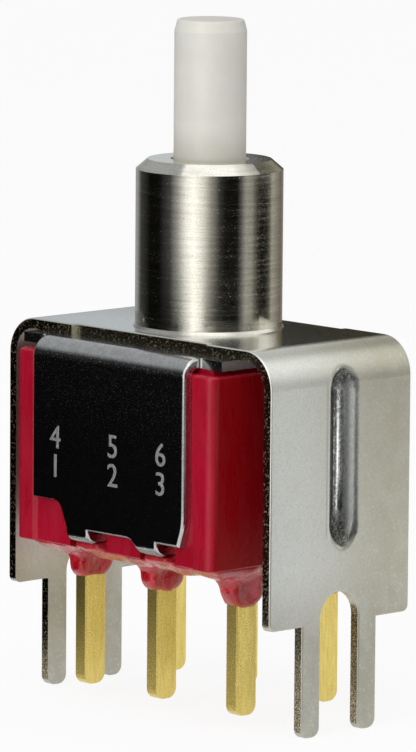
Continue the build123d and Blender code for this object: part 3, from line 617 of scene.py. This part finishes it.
BUSHING_BANDS = (
    (-180, (0.40, 0.40, 0.40)), (-148, (0.38, 0.38, 0.38)), (-132, (0.06, 0.06, 0.06)),
    (-104, (0.004, 0.004, 0.003)), (-82, (0.004, 0.004, 0.003)), (-62, (0.07, 0.07, 0.07)),
    (-49, (0.42, 0.42, 0.40)), (-36, (1.20, 1.20, 1.16)), (-23, (1.60, 1.58, 1.50)),
    (-10, (1.10, 1.08, 1.03)), (2, (0.40, 0.39, 0.35)), (15, (0.05, 0.05, 0.045)),
    (24, (0.004, 0.004, 0.003)), (44, (0.004, 0.004, 0.003)), (50, (0.12, 0.12, 0.11)),
    (58, (0.42, 0.42, 0.38)), (69, (0.34, 0.33, 0.29)), (76, (0.02, 0.016, 0.008)),
    (97, (0.005, 0.004, 0.002)), (106, (0.10, 0.09, 0.065)), (113, (0.44, 0.42, 0.37)),
    (128, (0.30, 0.28, 0.23)), (146, (0.18, 0.16, 0.13)), (172, (0.34, 0.32, 0.28)),
    (180, (0.40, 0.40, 0.40)))
TOP_BANDS = (
    (-180, (0.54, 0.57, 0.60)), (-174, (0.52, 0.55, 0.58)), (-160, (0.34, 0.35, 0.36)),
    (-132, (0.14, 0.14, 0.14)), (-104, (0.01, 0.01, 0.01)), (-62, (0.05, 0.05, 0.05)),
    (-36, (1.10, 1.10, 1.08)), (-10, (1.00, 1.00, 0.96)), (2, (0.40, 0.39, 0.35)),
    (15, (0.05, 0.05, 0.045)), (44, (0.01, 0.01, 0.01)), (58, (0.42, 0.42, 0.38)),
    (69, (0.34, 0.33, 0.29)), (80, (0.80, 0.80, 0.76)), (100, (1.15, 1.15, 1.10)),
    (116, (0.80, 0.79, 0.74)), (140, (0.20, 0.18, 0.13)), (164, (0.13, 0.115, 0.07)),
    (169, (0.03, 0.024, 0.01)), (177, (0.005, 0.004, 0.001)), (179, (0.20, 0.20, 0.20)),
    (180, (0.54, 0.57, 0.60)))
SKY_BANDS = (
    (-180, (0.50, 0.51, 0.52)), (-150, (0.46, 0.47, 0.48)), (-90, (0.44, 0.45, 0.46)),
    (-60, (0.40, 0.40, 0.40)), (-35, (1.50, 1.50, 1.46)), (30, (1.50, 1.50, 1.46)),
    (60, (0.80, 0.80, 0.78)), (86, (1.10, 1.10, 1.07)), (118, (1.20, 1.20, 1.16)),
    (132, (0.10, 0.10, 0.07)), (150, (0.25, 0.24, 0.20)), (165, (0.80, 0.80, 0.76)),
    (180, (0.50, 0.51, 0.52)))


def banded(f, turn, bands):
    """A colour ramp round the wall; turn runs 0 to 1 over a full circle."""
    ramp = f.node("ShaderNodeValToRGB")
    stops = ramp.color_ramp.elements
    stops.remove(stops[-1])
    for index, (degrees, colour) in enumerate(bands):
        place = 0.5 + degrees / 360
        stop = stops[0] if index == 0 else stops.new(place)
        stop.position = place
        stop.color = (*[channel / BRIGHTEST for channel in colour], 1)
    f.link(turn, ramp.inputs["Fac"])
    return ramp.outputs["Color"]


def studio_object(name, shape, material):
    """An object of the studio from a bmesh, which is freed."""
    mesh = bpy.data.meshes.new(name)
    shape.to_mesh(mesh)
    shape.free()
    mesh.materials.append(material)
    made = bpy.data.objects.new(name, mesh)
    bpy.context.scene.collection.objects.link(made)
    return made


def hide_but_in_reflections(made):
    made.visible_camera = False
    made.visible_diffuse = False
    made.visible_shadow = False
    made.visible_transmission = False


def reflector_ring():
    """A tall round wall whose bands of light and dark show only in shiny surfaces."""
    wall = bmesh.new()
    bmesh.ops.create_cone(wall, cap_ends=False, segments=RING_SIDES, radius1=RING_R,
                          radius2=RING_R, depth=RING_TOP - FLOOR_Z)
    bmesh.ops.translate(wall, vec=(0, 0, (RING_TOP + FLOOR_Z) / 2), verts=wall.verts)
    f = Finish("reflector_ring")
    radial = f.node("ShaderNodeTexGradient", gradient_type="RADIAL")
    f.link(f.place["Object"], radial.inputs["Vector"])
    turn = radial.outputs["Fac"]
    z = f.position("Z")
    middle = f.blend(f.span(z, *FOOT_ZONE), banded(f, turn, BUSHING_LOW_BANDS),
                     banded(f, turn, BUSHING_BANDS))
    colour = banded(f, turn, SIDE_BANDS)
    colour = f.blend(f.span(z, *LOW_ZONE), colour, middle)
    colour = f.blend(f.span(z, *HIGH_ZONE), colour, banded(f, turn, TOP_BANDS))
    colour = f.blend(f.span(z, *SKY_ZONE), colour, banded(f, turn, SKY_BANDS))
    glow = f.glow(BRIGHTEST)
    f.link(colour, glow.inputs["Color"])
    f.show(glow.outputs[0])
    made = studio_object("reflector_ring", wall, f.material)
    # the gradient's ends meet at local -X, which this turns to the side away from the camera
    made.rotation_euler.z = VIEW_AZIMUTH - math.pi / 2
    hide_but_in_reflections(made)


def ceiling_card():
    """A bright disc over the reflector wall, seen in metal that faces up at a slant."""
    disc = bmesh.new()
    bmesh.ops.create_circle(disc, cap_ends=True, segments=DISC_SIDES, radius=RING_R)
    bmesh.ops.translate(disc, vec=(0, 0, RING_TOP), verts=disc.verts)
    f = Finish("ceiling_card")
    f.show(f.glow(CEILING).outputs[0])
    hide_but_in_reflections(studio_object("ceiling_card", disc, f.material))


# Upright dark cards beside the object, from the floor up, seen only in reflections:
# (name, degrees from the view direction, distance, width, top, shade).
CARDS = (
    ("side_card", 33, 24 * MM, 26 * MM, 3 * MM, 0.03),
    ("front_card", -94, 14 * MM, 32 * MM, 10 * MM, 0.005))
# Soft boxes aimed at the object: (name, degrees from the view direction, degrees up, width,
# height, radiance).
LAMPS = (
    ("key", -30, 12, 70 * MM, 220 * MM, 5.4),
    ("top", -10, 65, 200 * MM, 200 * MM, 1.8),
    ("rim", 125, 15, 120 * MM, 220 * MM, 0.2))
LAMP_DISTANCE = 300 * MM


def beside(degrees):
    return VIEW_AZIMUTH + math.radians(degrees)


def stage_card(name, degrees, distance, width, top, shade):
    middle = around(beside(degrees), distance, (FLOOR_Z + top) / 2)
    card = bmesh.new()
    bmesh.ops.create_grid(card, x_segments=1, y_segments=1, size=0.5)
    bmesh.ops.scale(card, vec=(width, top - FLOOR_Z, 1), verts=card.verts)
    turn = Matrix.Rotation(beside(degrees), 4, "Z") @ Matrix.Rotation(math.pi / 2, 4, "X")
    bmesh.ops.transform(card, matrix=Matrix.Translation(middle) @ turn, verts=card.verts)
    f = Finish(name, Roughness=0.9, Base_Color=(shade, shade, shade, 1), Specular_IOR_Level=0.0)
    hide_but_in_reflections(studio_object(name, card, f.material))


def soft_box(name, degrees, degrees_up, width, height, radiance):
    data = bpy.data.lights.new(name, "AREA")
    data.shape = "RECTANGLE"
    data.size = width
    data.size_y = height
    data.energy = radiance * math.pi * width * height
    lamp = bpy.data.objects.new(name, data)
    bpy.context.scene.collection.objects.link(lamp)
    elevation = math.radians(degrees_up)
    level = AIM.z + LAMP_DISTANCE * math.sin(elevation)
    lamp.location = around(beside(degrees), LAMP_DISTANCE * math.cos(elevation), level)
    lamp.rotation_mode = "QUATERNION"
    lamp.rotation_quaternion = (AIM - lamp.location).to_track_quat("-Z", "Y")
    lamp.visible_camera = False
    # the other lamps' shapes would show as patches in the metal
    lamp.visible_glossy = name == "key"


def white_for_seen_rays(tree, plain, white):
    """Mixes in a shader for rays from the camera, or off metal and through clear stuff."""
    path = tree.nodes.new("ShaderNodeLightPath").outputs
    share = path["Is Camera Ray"]
    for name in ("Is Glossy Ray", "Is Transmission Ray"):
        both = tree.nodes.new("ShaderNodeMath")
        both.operation = "MAXIMUM"
        tree.links.new(share, both.inputs[0])
        tree.links.new(path[name], both.inputs[1])
        share = both.outputs[0]
    mix = tree.nodes.new("ShaderNodeMixShader")
    tree.links.new(share, mix.inputs["Fac"])
    tree.links.new(plain, mix.inputs[1])
    tree.links.new(white, mix.inputs[2])
    return mix.outputs[0]


WORLD_LIGHT = (0.43, 0.43, 0.44, 1)
WHITE = (1, 1, 1, 1)
FLOOR_HALF_SIZE = 3.0
FLOOR_COLOUR = (0.85, 0.85, 0.85, 1)
FLOOR_GLOW = 1.05             # the floor's own brightness for rays that see it
FLOOR_GLOW_SHARE = 0.85       # the rest of what they see is the lit floor, with its shadow


def make_world():
    world = bpy.data.worlds.new("studio")
    bpy.context.scene.world = world
    world.use_nodes = True
    tree = world.node_tree
    plain = tree.nodes["Background"]
    plain.inputs["Color"].default_value = WORLD_LIGHT
    white = tree.nodes.new("ShaderNodeBackground")
    white.inputs["Color"].default_value = WHITE
    tree.links.new(white_for_seen_rays(tree, plain.outputs[0], white.outputs[0]),
                   tree.nodes["World Output"].inputs["Surface"])


def make_floor():
    floor = bmesh.new()
    bmesh.ops.create_grid(floor, x_segments=1, y_segments=1, size=FLOOR_HALF_SIZE)
    bmesh.ops.translate(floor, vec=(0, 0, FLOOR_Z), verts=floor.verts)
    f = Finish("floor_pale", Roughness=0.9, Base_Color=FLOOR_COLOUR, Specular_IOR_Level=0.1)
    half = f.node("ShaderNodeMixShader")
    half.inputs["Fac"].default_value = FLOOR_GLOW_SHARE
    f.link(f.shader.outputs[0], half.inputs[1])
    f.link(f.glow(FLOOR_GLOW).outputs[0], half.inputs[2])
    f.show(white_for_seen_rays(f.tree, f.shader.outputs[0], half.outputs[0]))
    made = studio_object("floor", floor, f.material)


def make_studio():
    bpy.context.scene.view_settings.view_transform = "Standard"
    make_world()
    make_floor()
    reflector_ring()
    ceiling_card()
    for card in CARDS:
        stage_card(*card)
    for lamp in LAMPS:
        soft_box(*lamp)


dress_frame()
cast_seal()
stamp_numerals()
make_camera()
make_studio()
